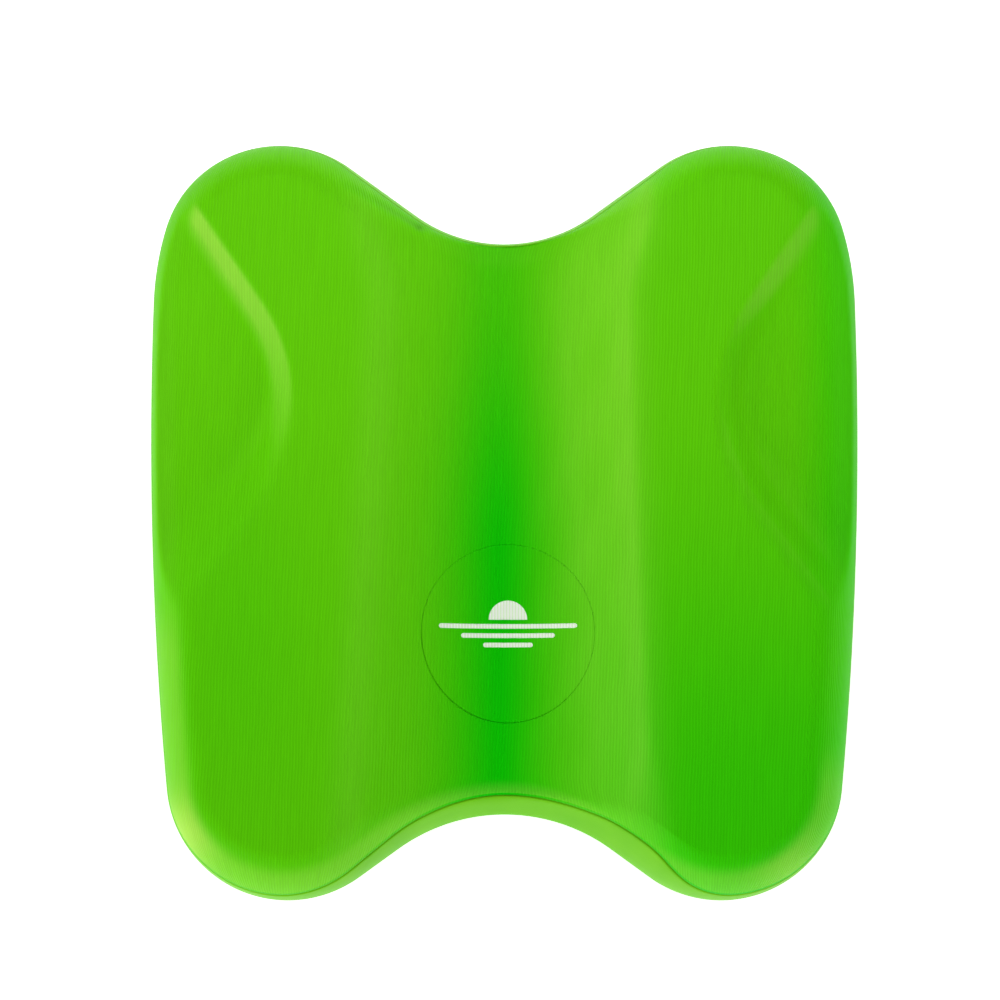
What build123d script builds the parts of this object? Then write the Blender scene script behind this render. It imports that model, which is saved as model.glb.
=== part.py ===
from build123d import *
import os
from math import cos, radians, sin, tan

# Swim float in moulded EVA foam: a kickboard and pull buoy in one.
# Frame: the float lies flat, +X across, +Y towards the far end, +Z up.
# The origin is on the ground under the middle of its bounding box.
# Heights called "rise" are measured from the middle plane, where the two core halves meet.

# ---- overall ----
THICKNESS = 60.0
HALF_THICKNESS = THICKNESS / 2
SKIN_THICKNESS = 3.0
SKIN_EDGE_RISE = 10.0      # how high above the middle plane the skin ends on the side wall
WALL_DRAFT = 8.0           # degrees, the side wall leans in from the middle plane
RIM_RADIUS = 14.0          # rounding between side wall and top

# ---- plan outline, one half, as tangent arcs from the far notch to the near notch ----
FAR_NOTCH_Y = 102.2
FAR_NOTCH_RADIUS = 55.0
FAR_NOTCH_TURN = 36.0
FAR_FLANK_LENGTH = 31.0
FAR_LOBE_RADIUS = 44.0
FAR_LOBE_TURN = 110.0
SHOULDER_RADIUS = 111.0
SHOULDER_TURN = 14.5
SIDE_RADIUS = 1420.0
SIDE_TURN = 7.25
NEAR_LOBE_RADIUS = 44.5
NEAR_LOBE_TURN = 120.0
NEAR_FLANK_LENGTH = 17.5

# ---- thigh valley, one on each face ----
VALLEY_DEPTH = 16.0
VALLEY_SLOPE = 25.0        # degrees, the straight part of its walls
VALLEY_HALF_WIDTH_MIDDLE = 48.5
VALLEY_WIDENING = 0.042    # mm of half width gained per mm towards the near end
VALLEY_CREST_RADIUS = 25.0
VALLEY_CREST_EXIT = 5.0    # degrees left between crest rounding and the flat top
VALLEY_REACH = 160.0       # half length of the cutting shape, past both ends

# ---- hand scoops, one at each side on each face ----
SCOOP_CORNER_X = 63.5      # where the two straight flanks would meet
SCOOP_CORNER_Y = 38.0
SCOOP_FAR_ANGLE = 31.0     # degrees between each flank and the length of the float
SCOOP_NEAR_ANGLE = 36.0
SCOOP_FLANK_LENGTH = 130.0
SCOOP_CORNER_RADIUS = 66.0
SCOOP_DEPTH = 7.5
SCOOP_WALL_SLOPE = 45.0
SCOOP_FLOOR_FALL = 4.0     # degrees, the floor falls towards the side
CUT_CLEARANCE = 12.0       # how far the cutting shapes stand above the flat top
CUT_REACH = 400.0          # width and length of the block that trims the skin's edge

# ---- printed disc let into the top skin, and its mark ----
DISC_RADIUS = 32.4         # as cut from the flat sheet, before it is bent into the valley
DISC_Y = -43.0
DISC_GAP = 0.25
PRINT_THICKNESS = 0.3
SUN_RADIUS = 7.0
SUN_LIFT = 5.0             # middle of the half sun above the disc's middle
BAR_HEIGHT = 1.7
BAR_PITCH = 3.4
FIRST_BAR_DROP = 2.4       # middle of the first bar below the half sun's foot
BAR_LENGTHS = (50.0, 34.0, 18.0)


def half_outline():
    """Left half of the plan outline as a list of edges, counterclockwise from the far notch."""
    far_notch = JernArc((0, FAR_NOTCH_Y), (-1, 0), FAR_NOTCH_RADIUS, -FAR_NOTCH_TURN)
    far_flank = Line(far_notch @ 1, far_notch @ 1 + FAR_FLANK_LENGTH * (far_notch % 1))
    far_lobe = JernArc(far_flank @ 1, far_flank % 1, FAR_LOBE_RADIUS, FAR_LOBE_TURN)
    shoulder = JernArc(far_lobe @ 1, far_lobe % 1, SHOULDER_RADIUS, SHOULDER_TURN)
    side = JernArc(shoulder @ 1, shoulder % 1, SIDE_RADIUS, SIDE_TURN)
    near_lobe = JernArc(side @ 1, side % 1, NEAR_LOBE_RADIUS, NEAR_LOBE_TURN)
    near_flank = Line(near_lobe @ 1, near_lobe @ 1 + NEAR_FLANK_LENGTH * (near_lobe % 1))
    turned = FAR_LOBE_TURN + SHOULDER_TURN + SIDE_TURN + NEAR_LOBE_TURN - FAR_NOTCH_TURN
    near_turn = turned - 180
    near_radius = -(near_flank @ 1).X / sin(radians(near_turn))
    near_notch = JernArc(near_flank @ 1, near_flank % 1, near_radius, -near_turn)
    return [far_notch, far_flank, far_lobe, shoulder, side, near_lobe, near_flank, near_notch]


def outline_face(inset):
    """Plan face of the float at the middle plane, drawn in by inset and centred on the origin."""
    half = Curve() + half_outline()
    whole = make_face(half + mirror(half, Plane.YZ)).face()
    whole = Pos(0, -whole.bounding_box().center().Y, 0) * whole
    if inset > 0:
        whole = offset(whole, amount=-inset)
    return whole


def valley_half_width(y):
    """Distance from the middle to where the valley's straight slope would reach the flat top."""
    return VALLEY_HALF_WIDTH_MIDDLE - VALLEY_WIDENING * y


def valley_floor_radius(y):
    """Radius of the valley's round floor, tangent to both slopes."""
    slope = radians(VALLEY_SLOPE)
    return (valley_half_width(y) * tan(slope) - VALLEY_DEPTH) * cos(slope) / (1 - cos(slope))


def valley_section(y):
    """Face across the valley at y: round floor, straight slopes, rounded crests."""
    half_width = valley_half_width(y)
    slope = radians(VALLEY_SLOPE)
    leave = radians(VALLEY_CREST_EXIT)
    floor_rise = HALF_THICKNESS - VALLEY_DEPTH
    crest_run = VALLEY_CREST_RADIUS * (sin(slope) - sin(leave))
    crest_drop = VALLEY_CREST_RADIUS * (cos(leave) - cos(slope))
    crest_x = half_width - crest_drop / tan(slope) + crest_run
    top_rise = HALF_THICKNESS + CUT_CLEARANCE
    plane = Plane(origin=(0, y, 0), x_dir=(1, 0, 0), z_dir=(0, -1, 0))
    floor = JernArc((0, floor_rise), (1, 0), valley_floor_radius(y), VALLEY_SLOPE)
    wall = Line(floor @ 1, (crest_x - crest_run, HALF_THICKNESS - crest_drop))
    crest = JernArc(wall @ 1, wall % 1, VALLEY_CREST_RADIUS, VALLEY_CREST_EXIT - VALLEY_SLOPE)
    lift = Line(crest @ 1, crest @ 1 + VALLEY_CREST_RADIUS * (crest % 1))
    side = Line(lift @ 1, ((lift @ 1).X, top_rise))
    lid = Line(side @ 1, (0, top_rise))
    half = Curve() + [floor, wall, crest, lift, side, lid]
    return plane * make_face(half + mirror(half, Plane.YZ))


def valley_cutter():
    """Solid that cuts the valley along the whole length."""
    return loft([valley_section(VALLEY_REACH), valley_section(-VALLEY_REACH)], ruled=True)


def scoop_cutter():
    """Solid that cuts the hand scoop on the right side."""
    corner = Vector(SCOOP_CORNER_X, SCOOP_CORNER_Y)
    far_way = Vector(sin(radians(SCOOP_FAR_ANGLE)), cos(radians(SCOOP_FAR_ANGLE)))
    near_way = Vector(sin(radians(SCOOP_NEAR_ANGLE)), -cos(radians(SCOOP_NEAR_ANGLE)))
    far_end = corner + far_way * SCOOP_FLANK_LENGTH
    near_end = corner + near_way * SCOOP_FLANK_LENGTH
    flanks = FilletPolyline(far_end, corner, near_end, radius=SCOOP_CORNER_RADIUS)
    crease = make_face(Curve() + [flanks, Line(near_end, far_end)])
    wall_run = SCOOP_DEPTH / tan(radians(SCOOP_WALL_SLOPE))
    floor = offset(crease, amount=-wall_run)
    cutter = extrude(floor, amount=SCOOP_DEPTH + CUT_CLEARANCE, taper=SCOOP_WALL_SLOPE - 90)
    foot_x = SCOOP_CORNER_X + wall_run
    tilted = Pos(foot_x, 0, 0) * Rot(0, SCOOP_FLOOR_FALL, 0) * Pos(-foot_x, 0, 0) * cutter
    return Pos(0, 0, HALF_THICKNESS - SCOOP_DEPTH) * tilted


def half_body(inset):
    """Upper half of the float, every surface drawn in by inset."""
    height = HALF_THICKNESS - inset
    body = extrude(outline_face(inset), amount=height, taper=WALL_DRAFT)
    body = fillet(body.faces().sort_by(Axis.Z)[-1].edges(), radius=RIM_RADIUS - inset)
    scoop = scoop_cutter()
    for cutter in (valley_cutter(), scoop, mirror(scoop, Plane.YZ)):
        body = body - Pos(0, 0, -inset) * cutter
    return body


def disc_column(radius):
    """Upright column through the skin round the disc, oval in plan because the round disc is bent."""
    floor_radius = valley_floor_radius(DISC_Y)
    half_width = floor_radius * sin(radius / floor_radius)
    return Pos(0, DISC_Y, 0) * extrude(Ellipse(half_width, radius), amount=THICKNESS)


def mark_shape():
    """Plan of the printed mark: a half sun over three bars that get shorter."""
    sun = Circle(SUN_RADIUS) & Pos(0, SUN_RADIUS / 2, 0) * Rectangle(2 * SUN_RADIUS, SUN_RADIUS)
    marks = [Pos(0, SUN_LIFT, 0) * sun]
    for row, length in enumerate(BAR_LENGTHS):
        bar = SlotOverall(length, BAR_HEIGHT)
        marks.append(Pos(0, SUN_LIFT - FIRST_BAR_DROP - BAR_PITCH * row, 0) * bar)
    return Pos(0, DISC_Y, 0) * (Sketch() + marks)


def to_ground(shape):
    """Lift a shape from the middle plane to stand on the ground."""
    return Pos(0, 0, HALF_THICKNESS) * shape


def upside_down(shape):
    """Mirror an upper piece in the middle plane."""
    return mirror(shape, Plane.XY)


def write_part(name, shape):
    """Write one named piece as a STEP file."""
    export_step(to_ground(shape), f"parts/{name}.step")


def main():
    os.makedirs("parts", exist_ok=True)
    outer = half_body(0)
    inner = half_body(SKIN_THICKNESS)
    above_edge = Pos(0, 0, SKIN_EDGE_RISE + THICKNESS) * Box(CUT_REACH, CUT_REACH, 2 * THICKNESS)
    skin = (outer - inner) & above_edge
    core = outer - skin
    film = skin - half_body(PRINT_THICKNESS)
    mark = film & extrude(mark_shape(), amount=THICKNESS)
    disc = (skin & disc_column(DISC_RADIUS)) - mark
    top_skin = skin - disc_column(DISC_RADIUS + DISC_GAP)
    write_part("top_skin", top_skin)
    write_part("print_disc", disc)
    write_part("printed_mark", mark)
    write_part("upper_core", core)
    write_part("lower_core", upside_down(core))
    write_part("bottom_skin", upside_down(skin))


main()
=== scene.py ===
"""A swim float of moulded EVA foam, a kickboard and pull buoy in one.

The float lies flat. Two ribbed skins are pressed over a foam core that is made of two
halves, and a printed disc is let into the top skin. Every size here is in millimetres,
and heights called rise are measured from the middle plane, where the core halves meet.
A plan is an (n, 2) array of places across and along the float, and a pair called over
holds the two places between which a change comes in. Meshes are turned to metres in the
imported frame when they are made.
"""

from __future__ import annotations

import logging
import math
from dataclasses import dataclass, field
from enum import Enum

import bmesh
import bpy
import numpy as np
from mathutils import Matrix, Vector

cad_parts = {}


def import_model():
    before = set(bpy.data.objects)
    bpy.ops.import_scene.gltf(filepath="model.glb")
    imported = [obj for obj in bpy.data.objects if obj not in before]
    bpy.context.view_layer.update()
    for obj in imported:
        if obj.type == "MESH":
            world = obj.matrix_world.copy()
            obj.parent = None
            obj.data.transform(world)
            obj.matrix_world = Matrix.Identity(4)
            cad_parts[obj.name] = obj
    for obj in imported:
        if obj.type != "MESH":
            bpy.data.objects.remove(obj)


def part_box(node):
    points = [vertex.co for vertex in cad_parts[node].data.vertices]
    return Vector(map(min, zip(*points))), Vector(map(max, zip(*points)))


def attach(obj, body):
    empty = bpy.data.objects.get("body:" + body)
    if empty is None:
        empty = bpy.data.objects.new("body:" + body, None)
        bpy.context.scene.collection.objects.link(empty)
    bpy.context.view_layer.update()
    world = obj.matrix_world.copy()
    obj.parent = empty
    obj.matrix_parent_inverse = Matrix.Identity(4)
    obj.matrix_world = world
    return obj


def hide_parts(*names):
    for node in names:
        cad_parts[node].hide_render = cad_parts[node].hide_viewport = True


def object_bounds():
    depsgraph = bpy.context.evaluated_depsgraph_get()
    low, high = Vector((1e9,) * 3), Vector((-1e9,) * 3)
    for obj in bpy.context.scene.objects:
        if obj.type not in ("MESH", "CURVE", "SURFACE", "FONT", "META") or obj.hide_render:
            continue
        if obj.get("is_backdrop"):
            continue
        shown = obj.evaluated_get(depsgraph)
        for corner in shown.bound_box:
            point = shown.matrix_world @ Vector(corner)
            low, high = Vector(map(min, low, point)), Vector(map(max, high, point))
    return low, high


LOG = logging.getLogger("swim_float")
MM = 0.001
BODY = "root"
WHITE = (1.0, 1.0, 1.0, 1.0)
Array = np.ndarray
Rings = list[tuple[Array, Array, Array]]
Pair = tuple[float, float]
Tree = bpy.types.NodeTree
Node = bpy.types.Node
Socket = bpy.types.NodeSocket
Material = bpy.types.Material


class Side(Enum):
    """Which face of the float a piece belongs to; the value is the sign of its rise."""

    TOP = 1.0
    UNDER = -1.0


# ---------------------------------------------------------------- plain helpers


def linear(hex_colour: str) -> tuple[float, float, float, float]:
    """Turn an sRGB hex colour to linear light.

    Args:
        hex_colour: Six hex digits with a leading #.

    Returns:
        Linear red, green, blue and an alpha of one.
    """
    channels = [int(hex_colour[i : i + 2], 16) / 255 for i in (1, 3, 5)]
    lit = [c / 12.92 if c <= 0.04045 else ((c + 0.055) / 1.055) ** 2.4 for c in channels]
    return (lit[0], lit[1], lit[2], 1.0)


def soft_min(a: Array, b: Array, blend: float | Array) -> Array:
    """Take the lower of two heights, with the crease between them rounded.

    Args:
        a: First heights.
        b: Second heights.
        blend: Height over which the two run into each other.

    Returns:
        The blended heights.
    """
    near = np.maximum(blend - np.abs(a - b), 0.0) / blend
    return np.minimum(a, b) - near * near * blend / 4


def smooth_step(low: float, high: float, x: Array) -> Array:
    """Ease from 0 at low to 1 at high."""
    t = np.clip((x - low) / (high - low), 0.0, 1.0)
    return t * t * (3 - 2 * t)


def between(low: Array | float, high: Array | float, share: Array) -> Array:
    """Mix two values: low where the share is 0, high where it is 1."""
    return low + (high - low) * share


def bell(off: Array) -> Array:
    """Bell curve: 1 at 0, falling away on both sides."""
    return np.exp(-(off**2))


def spot(plan: Array, middle: Pair, size: Pair | float) -> Array:
    """Round or oval bell on the plan: 1 at its middle, falling away over its size."""
    return np.exp(-(((plan - middle) / size) ** 2).sum(axis=1))


def outer_loop(ids: Array) -> Array:
    """Numbers round the outside of a grid of points, clockwise from its first corner."""
    return np.concatenate([ids[0, :-1], ids[:-1, -1], ids[-1, :0:-1], ids[:0:-1, 0]])


def add_node(tree: Tree, kind: str, inputs: dict | None = None, **settings: object) -> Node:
    """Add a shader node, give it its settings and fill its inputs.

    Args:
        tree: The node tree.
        kind: The node's type name, without its ShaderNode.
        inputs: Socket name or number to a value, or to the socket or node that feeds it.
        **settings: The node's own properties.

    Returns:
        The new node.
    """
    node = tree.nodes.new("ShaderNode" + kind)
    for name, value in settings.items():
        setattr(node, name, value)
    for socket, source in (inputs or {}).items():
        if isinstance(source, Node):
            source = source.outputs[0]
        if isinstance(source, Socket):
            tree.links.new(source, node.inputs[socket])
        else:
            node.inputs[socket].default_value = source
    return node


# ---------------------------------------------------------------- the float's form


@dataclass(frozen=True)
class Outline:
    """Plan outline at the widest level: its right half as tangent arcs, far notch to near notch."""

    far_notch_y: float = 102.2
    far_notch_radius: float = 55.0
    far_notch_turn: float = 36.0
    far_flank: float = 31.0
    far_lobe_radius: float = 44.0
    far_lobe_turn: float = 110.0
    shoulder_radius: float = 111.0
    shoulder_turn: float = 14.5
    side_radius: float = 1420.0
    side_turn: float = 7.25
    near_lobe_radius: float = 44.5
    near_lobe_turn: float = 120.0
    near_flank: float = 17.5
    corner_heading: float = 45.0

    def stretches(self) -> list[tuple[float, float]]:
        """List the stretches of the right half; the last arc is the near notch, up to the middle.

        Returns:
            Length and turn in radians of each one; a turn to the left is plus.
        """
        arcs = [
            (self.far_notch_radius, self.far_notch_turn),
            (None, self.far_flank),
            (self.far_lobe_radius, -self.far_lobe_turn),
            (self.shoulder_radius, -self.shoulder_turn),
            (self.side_radius, -self.side_turn),
            (self.near_lobe_radius, -self.near_lobe_turn),
            (None, self.near_flank),
        ]
        out = [(a, 0.0) if r is None else (r * math.radians(abs(a)), math.radians(a)) for r, a in arcs]
        end, heading = self.walk(out, np.array([sum(length for length, _ in out)]))
        near_turn = -math.pi - heading[0]
        return out + [(near_turn * end[0, 0] / math.sin(near_turn), near_turn)]

    def walk(self, stretches: list[tuple[float, float]], at: Array) -> tuple[Array, Array]:
        """Follow the stretches from the middle of the far notch, by the chord across each arc.

        Args:
            stretches: Length and turn of each stretch.
            at: Distances along the outline.

        Returns:
            The points there and the headings in radians.
        """
        lengths, turns = np.array(stretches).T
        starts, headings = (np.cumsum(steps) - steps for steps in (lengths, turns))
        chords = lengths * np.sinc(turns / (2 * math.pi)) * np.exp(1j * (headings + turns / 2))
        places = 1j * self.far_notch_y + np.cumsum(chords) - chords
        k = np.clip(np.searchsorted(starts, at, side="right") - 1, 0, len(starts) - 1)
        run = at - starts[k]
        bend = turns[k] * run / lengths[k]
        chord = run * np.sinc(bend / (2 * math.pi)) * np.exp(1j * (headings[k] + bend / 2))
        place = places[k] + chord
        return np.stack([place.real, place.imag], axis=1), headings[k] + bend

    def loop(self, across: int, along: int) -> tuple[Array, Array]:
        """Sample the whole outline clockwise, from the left far lobe's corner.

        Args:
            across: Steps along the far side, and along the near side.
            along: Steps along the right side, and along the left side.

        Returns:
            Points, and the unit vectors that point inward there.
        """
        stretches = self.stretches()
        half = sum(length for length, _ in stretches)
        corner = math.radians(self.corner_heading)
        # The far lobe is the third stretch and the near lobe is the sixth.
        before_far, before_near = (sum(length for length, _ in stretches[:count]) for count in (2, 5))
        far_heading = math.radians(self.far_notch_turn)
        near_heading = sum(turn for _, turn in stretches[:5])
        far_corner = before_far + (far_heading + corner) * self.far_lobe_radius
        near_corner = before_near + (near_heading + math.pi - corner) * self.near_lobe_radius
        at = np.concatenate([
            np.linspace(-far_corner, far_corner, across, endpoint=False),
            np.linspace(far_corner, near_corner, along, endpoint=False),
            np.linspace(near_corner, 2 * half - near_corner, across, endpoint=False),
            np.linspace(2 * half - near_corner, 2 * half - far_corner, along, endpoint=False),
        ])
        mirrored = (at < 0) | (at > half)
        folded = np.where(at < 0, -at, np.where(at > half, 2 * half - at, at))
        points, headings = self.walk(stretches, folded)
        inward = np.stack([np.sin(headings), -np.cos(headings)], axis=1)
        sign = np.where(mirrored, -1.0, 1.0)
        points[:, 0] *= sign
        inward[:, 0] *= sign
        points[:, 1] -= (points[:, 1].max() + points[:, 1].min()) / 2
        return points, inward


@dataclass(frozen=True)
class Valley:
    """Thigh valley pressed along the middle of each face."""

    depth: float = 16.0
    slope: float = 25.0
    half_width: float = 46.8
    widening: float = 0.034
    near_widening: float = 0.02
    near_from: float = 20.0
    flare: float = 9.0
    flare_over: Pair = (74.0, 116.0)
    lean: float = 0.012
    shift: float = 1.8

    def middle(self, y: Array) -> Array:
        """Where the valley's middle line runs."""
        return self.shift + self.lean * y

    def half_width_at(self, y: Array) -> Array:
        """Half the width of the valley's mouth.

        Args:
            y: Places along the float.

        Returns:
            Half the width there.
        """
        near = self.near_widening * np.maximum(self.near_from - y, 0.0)
        flare = self.flare * smooth_step(*self.flare_over, y)
        return self.half_width - self.widening * y + near + flare

    def rise(self, plan: Array, top: float) -> Array:
        """Height of the valley's floor and walls.

        Args:
            plan: Places.
            top: Rise of the flat lands beside the valley.

        Returns:
            Rise there, which goes on upward past the lands.
        """
        x, y = plan.T
        slope = math.radians(self.slope)
        off = np.abs(x - self.middle(y))
        half_width = self.half_width_at(y)
        radius = (half_width * math.tan(slope) - self.depth) * math.cos(slope) / (1 - math.cos(slope))
        curl = radius - np.sqrt(np.maximum(radius**2 - np.minimum(off, radius) ** 2, 0.0))
        wall = top - (half_width - off) * math.tan(slope)
        return np.where(off < radius * math.sin(slope), top - self.depth + curl, wall)


@dataclass(frozen=True)
class Scoop:
    """Hand scoop pressed into each side: two straight flanks that meet in a round corner."""

    corner: Pair = (62.3, 38.0)
    far_angle: float = 34.0
    near_angle: float = 36.0
    corner_radius: float = 66.0
    depth: float = 7.5
    far_taper: float = 0.6
    taper_over: Pair = (50.0, 122.0)
    far_wall_slope: float = 45.0
    near_wall_slope: float = 27.0
    slope_over: Pair = (8.0, 52.0)
    floor_fall: float = 4.0
    floor_crown: float = 0.9
    floor_middle: float = 104.0
    floor_reach: float = 26.0
    foot_blend: float = 3.2

    def inside(self, plan: Array) -> Array:
        """Distance inside the scoop's edge, the same on both sides of the float.

        Args:
            plan: Places.

        Returns:
            Distance from the edge, plus inside.
        """
        far_turn, near_turn = math.radians(self.far_angle), math.radians(self.near_angle)
        far = np.array([math.sin(far_turn), math.cos(far_turn)])
        near = np.array([math.sin(near_turn), -math.cos(near_turn)])
        middle = (far + near) / np.linalg.norm(far + near)
        reach = self.corner_radius / math.sin(math.acos(float(far @ middle)))
        px, py = np.abs(plan[:, 0]) - self.corner[0], plan[:, 1] - self.corner[1]
        px, py = px - middle[0] * reach, py - middle[1] * reach
        nearest, inside = np.full(len(plan), np.inf), np.ones(len(plan), bool)
        for way, turned in ((far, 1.0), (near, -1.0)):
            run = np.maximum(px * way[0] + py * way[1], 0.0)
            nearest = np.minimum(nearest, np.hypot(px - run * way[0], py - run * way[1]))
            inside &= turned * (px * way[1] - py * way[0]) > 0
        return self.corner_radius + np.where(inside, nearest, -nearest)

    def rise(self, plan: Array, top: float) -> Array:
        """Height of the scoop's wall and floor.

        Args:
            plan: Places.
            top: Rise of the lands beside the scoop.

        Returns:
            Rise there, which goes on upward outside the scoop.
        """
        out, y = np.abs(plan[:, 0]), plan[:, 1]
        slope = between(self.near_wall_slope, self.far_wall_slope, smooth_step(*self.slope_over, y))
        wall = top - self.inside(plan) * np.tan(np.radians(slope))
        crown = self.floor_crown * (1 - ((out - self.floor_middle) / self.floor_reach) ** 2)
        fall = (out - self.floor_middle + self.floor_reach) * math.tan(math.radians(self.floor_fall))
        depth = self.depth * (1 - self.far_taper * smooth_step(*self.taper_over, y))
        return -soft_min(-wall, -(top - depth + crown - fall), self.foot_blend)


@dataclass(frozen=True)
class Rim:
    """Rounding from the widest level up to the lands, and the line where the skin ends on it."""

    width: float = 17.0
    side_power: float = 2.1
    end_power: float = 1.7
    far_notch_power: float = 1.75
    near_notch_power: float = 1.12
    near_left_extra: float = 0.24
    near_left_over: Pair = (0.0, 45.0)
    notch_over: Pair = (30.0, 82.0)
    seam_rise: float = 10.0
    notch_seam_rise: float = 13.9
    seam_over: Pair = (48.0, 92.0)
    right_climb: float = 6.0
    right_climb_x: float = 50.0
    right_climb_width: float = 17.0

    def powers(self, plan: Array, inward: Array) -> Array:
        """Choose the rounding at each place: tight at the sides, lazy in the near notch.

        Args:
            plan: Places on the outline.
            inward: Inward unit vectors there.

        Returns:
            The superellipse power at each place.
        """
        x, y = plan.T
        ends = between(self.side_power, self.end_power, inward[:, 1] ** 2)
        near = self.near_notch_power + self.near_left_extra * smooth_step(*self.near_left_over, -x)
        notch = np.where(y > 0, self.far_notch_power, near)
        return between(notch, ends, smooth_step(*self.notch_over, np.abs(x)))

    def seam(self, plan: Array) -> Array:
        """Rise of the skin's edge: it climbs to the valley's mouth in the notches.

        Args:
            plan: Places on the outline.

        Returns:
            Rise there.
        """
        x, y = plan.T
        climb = self.right_climb * bell((x - self.right_climb_x) / self.right_climb_width) * (y < 0)
        beside = smooth_step(*self.seam_over, np.abs(x))
        return between(self.notch_seam_rise, self.seam_rise, beside) + climb

    def profile(
        self, power: Array, height: float, low: Array, high: Array | float, count: int
    ) -> tuple[Array, Array]:
        """Sample the rounding between two rises.

        Args:
            power: Superellipse power at each outline point.
            height: Rise of the lands.
            low: Rise where the samples start.
            high: Rise where they end.
            count: How many samples.

        Returns:
            Distance in from the widest level, and rise, each (count, points).
        """
        start, end = (np.arcsin((r / height) ** (power / 2)) for r in (low, high))
        angle = between(start, end, np.linspace(0.0, 1.0, count)[:, None])
        return self.width * (1 - np.cos(angle) ** (2 / power)), height * np.sin(angle) ** (2 / power)

    def rings(self, power: Array, height: float, low: Array, depth: float, count: int) -> Rings:
        """Rings from the lands down to the skin's edge, on the outer face or a depth under it.

        Args:
            power: Superellipse power at each outline point.
            height: Rise of the lands.
            low: Rise where the last ring lies, on the outer face.
            depth: How far the face lies under the outer one.
            count: How many samples the rounding has.

        Returns:
            For each ring its inset, its rise, and how much longer the sheet is than its plan.
        """
        inset, rise = (samples[::-1] for samples in self.profile(power, height, low, height, count))
        steps = np.hypot(np.diff(inset, axis=0), np.diff(rise, axis=0))
        run = np.vstack([np.zeros(len(power)), np.cumsum(steps, axis=0)]) - (self.width - inset)
        up, out = np.gradient(rise, axis=0), np.gradient(inset, axis=0)
        length = np.hypot(up, out)
        inset, rise = inset + depth * np.abs(up / length), rise - depth * np.abs(out / length)
        return [(inset[k], rise[k], run[k]) for k in range(1, count)]


@dataclass(frozen=True)
class Fold:
    """Shallow fold where the skin is drawn round the far notch's left corner."""

    start: Pair = (-57.8, 120.7)
    end: Pair = (-31.0, 105.6)
    start_share: float = 0.25
    depth: float = 0.5
    width: float = 1.2
    pinch_depth: float = 0.9
    pinch_width: float = 1.7
    line_shade: float = 0.5

    def _weigh(self, plan: Array, line: float, pinch: float) -> Array:
        """Weigh the fold's line, which grows to its end, and the pinch at the end.

        Args:
            plan: Places.
            line: Weight of the line.
            pinch: Weight of the pinch.

        Returns:
            The sum of both weights, 0 off the fold.
        """
        way = np.subtract(self.end, self.start)
        length = float(np.hypot(*way))
        held = np.clip((plan - self.start) @ way / length, 0.0, length)[:, None]
        off = np.hypot(*(plan - self.start - held * way / length).T)
        grown = between(self.start_share, 1.0, held[:, 0] / length) * bell(off / self.width)
        return line * grown + pinch * spot(plan, self.end, self.pinch_width)

    def drop(self, plan: Array) -> Array:
        """How far the fold sinks the surface."""
        return self._weigh(plan, self.depth, self.pinch_depth)

    def share(self, plan: Array) -> Array:
        """How much painted shade the fold's crease gets, from 0 off it to 1 in the pinch."""
        return self._weigh(plan, self.line_shade, 1 - self.line_shade)


@dataclass(frozen=True)
class PressedForm:
    """The pressed shape of one face, made of its lands, valley, scoops and rim.

    The crests' blends are for the left and the right. The mould isn't quite even: two waves,
    one of them slanted, sink the pressed parts a little, from wave_reach below the lands.
    """

    top: float = 30.0
    outline: Outline = field(default_factory=Outline)
    valley: Valley = field(default_factory=Valley)
    scoop: Scoop = field(default_factory=Scoop)
    rim: Rim = field(default_factory=Rim)
    fold: Fold = field(default_factory=Fold)
    crest_blends: Pair = (3.4, 1.3)
    near_crest_blend: float = 2.6
    near_blend_over: Pair = (-112.0, -84.0)
    scoop_edge_blend: float = 1.4
    waviness: float = 0.12
    wave_length: float = 41.0
    wave_starts: Pair = (1.3, 0.4)
    along_wave_rate: float = 0.83
    slanted_share: float = 0.6
    slanted_rate: float = 1.7
    slanted_lean: float = 0.6
    wave_reach: float = 4.0
    wall_slope: float = 25.0
    slant_step: float = 0.5

    def rise(self, plan: Array, level: Array | None = None, depth: float = 0.0) -> Array:
        """Height of the pressed face.

        Args:
            plan: Places.
            level: Rise with nothing pressed in; the lands when left out.
            depth: How far the pressed surfaces lie under the outer ones.

        Returns:
            Rise there.
        """
        x, y = plan.T
        level = np.broadcast_to(self.top - depth if level is None else level, x.shape)
        blend = np.where(x < 0, *self.crest_blends)
        blend = blend + self.near_crest_blend * (1 - smooth_step(*self.near_blend_over, y))
        rise = soft_min(level, self.valley.rise(plan, self.top) - depth, blend)
        rise = soft_min(rise, self.scoop.rise(plan, self.top) - depth, self.scoop_edge_blend)
        turn = 2 * math.pi / self.wave_length
        wave = np.sin(turn * x + self.wave_starts[0])
        wave = wave * np.sin(turn * self.along_wave_rate * y + self.wave_starts[1])
        wave = wave + self.slanted_share * np.sin(turn * self.slanted_rate * (x - self.slanted_lean * y))
        return rise - self.waviness * (1 + wave) * np.clip((level - rise) / self.wave_reach, 0.0, 1.0)

    def slant(self, plan: Array) -> Array:
        """How steep the pressed face is: 0 where level, 1 on the valley's straight walls.

        Args:
            plan: Places.

        Returns:
            The steepness there.
        """
        steps = (np.array([self.slant_step, 0.0]), np.array([0.0, self.slant_step]))
        across, along = (self.rise(plan + step) - self.rise(plan - step) for step in steps)
        return np.hypot(across, along) / (2 * self.slant_step) / math.tan(math.radians(self.wall_slope))


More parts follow.
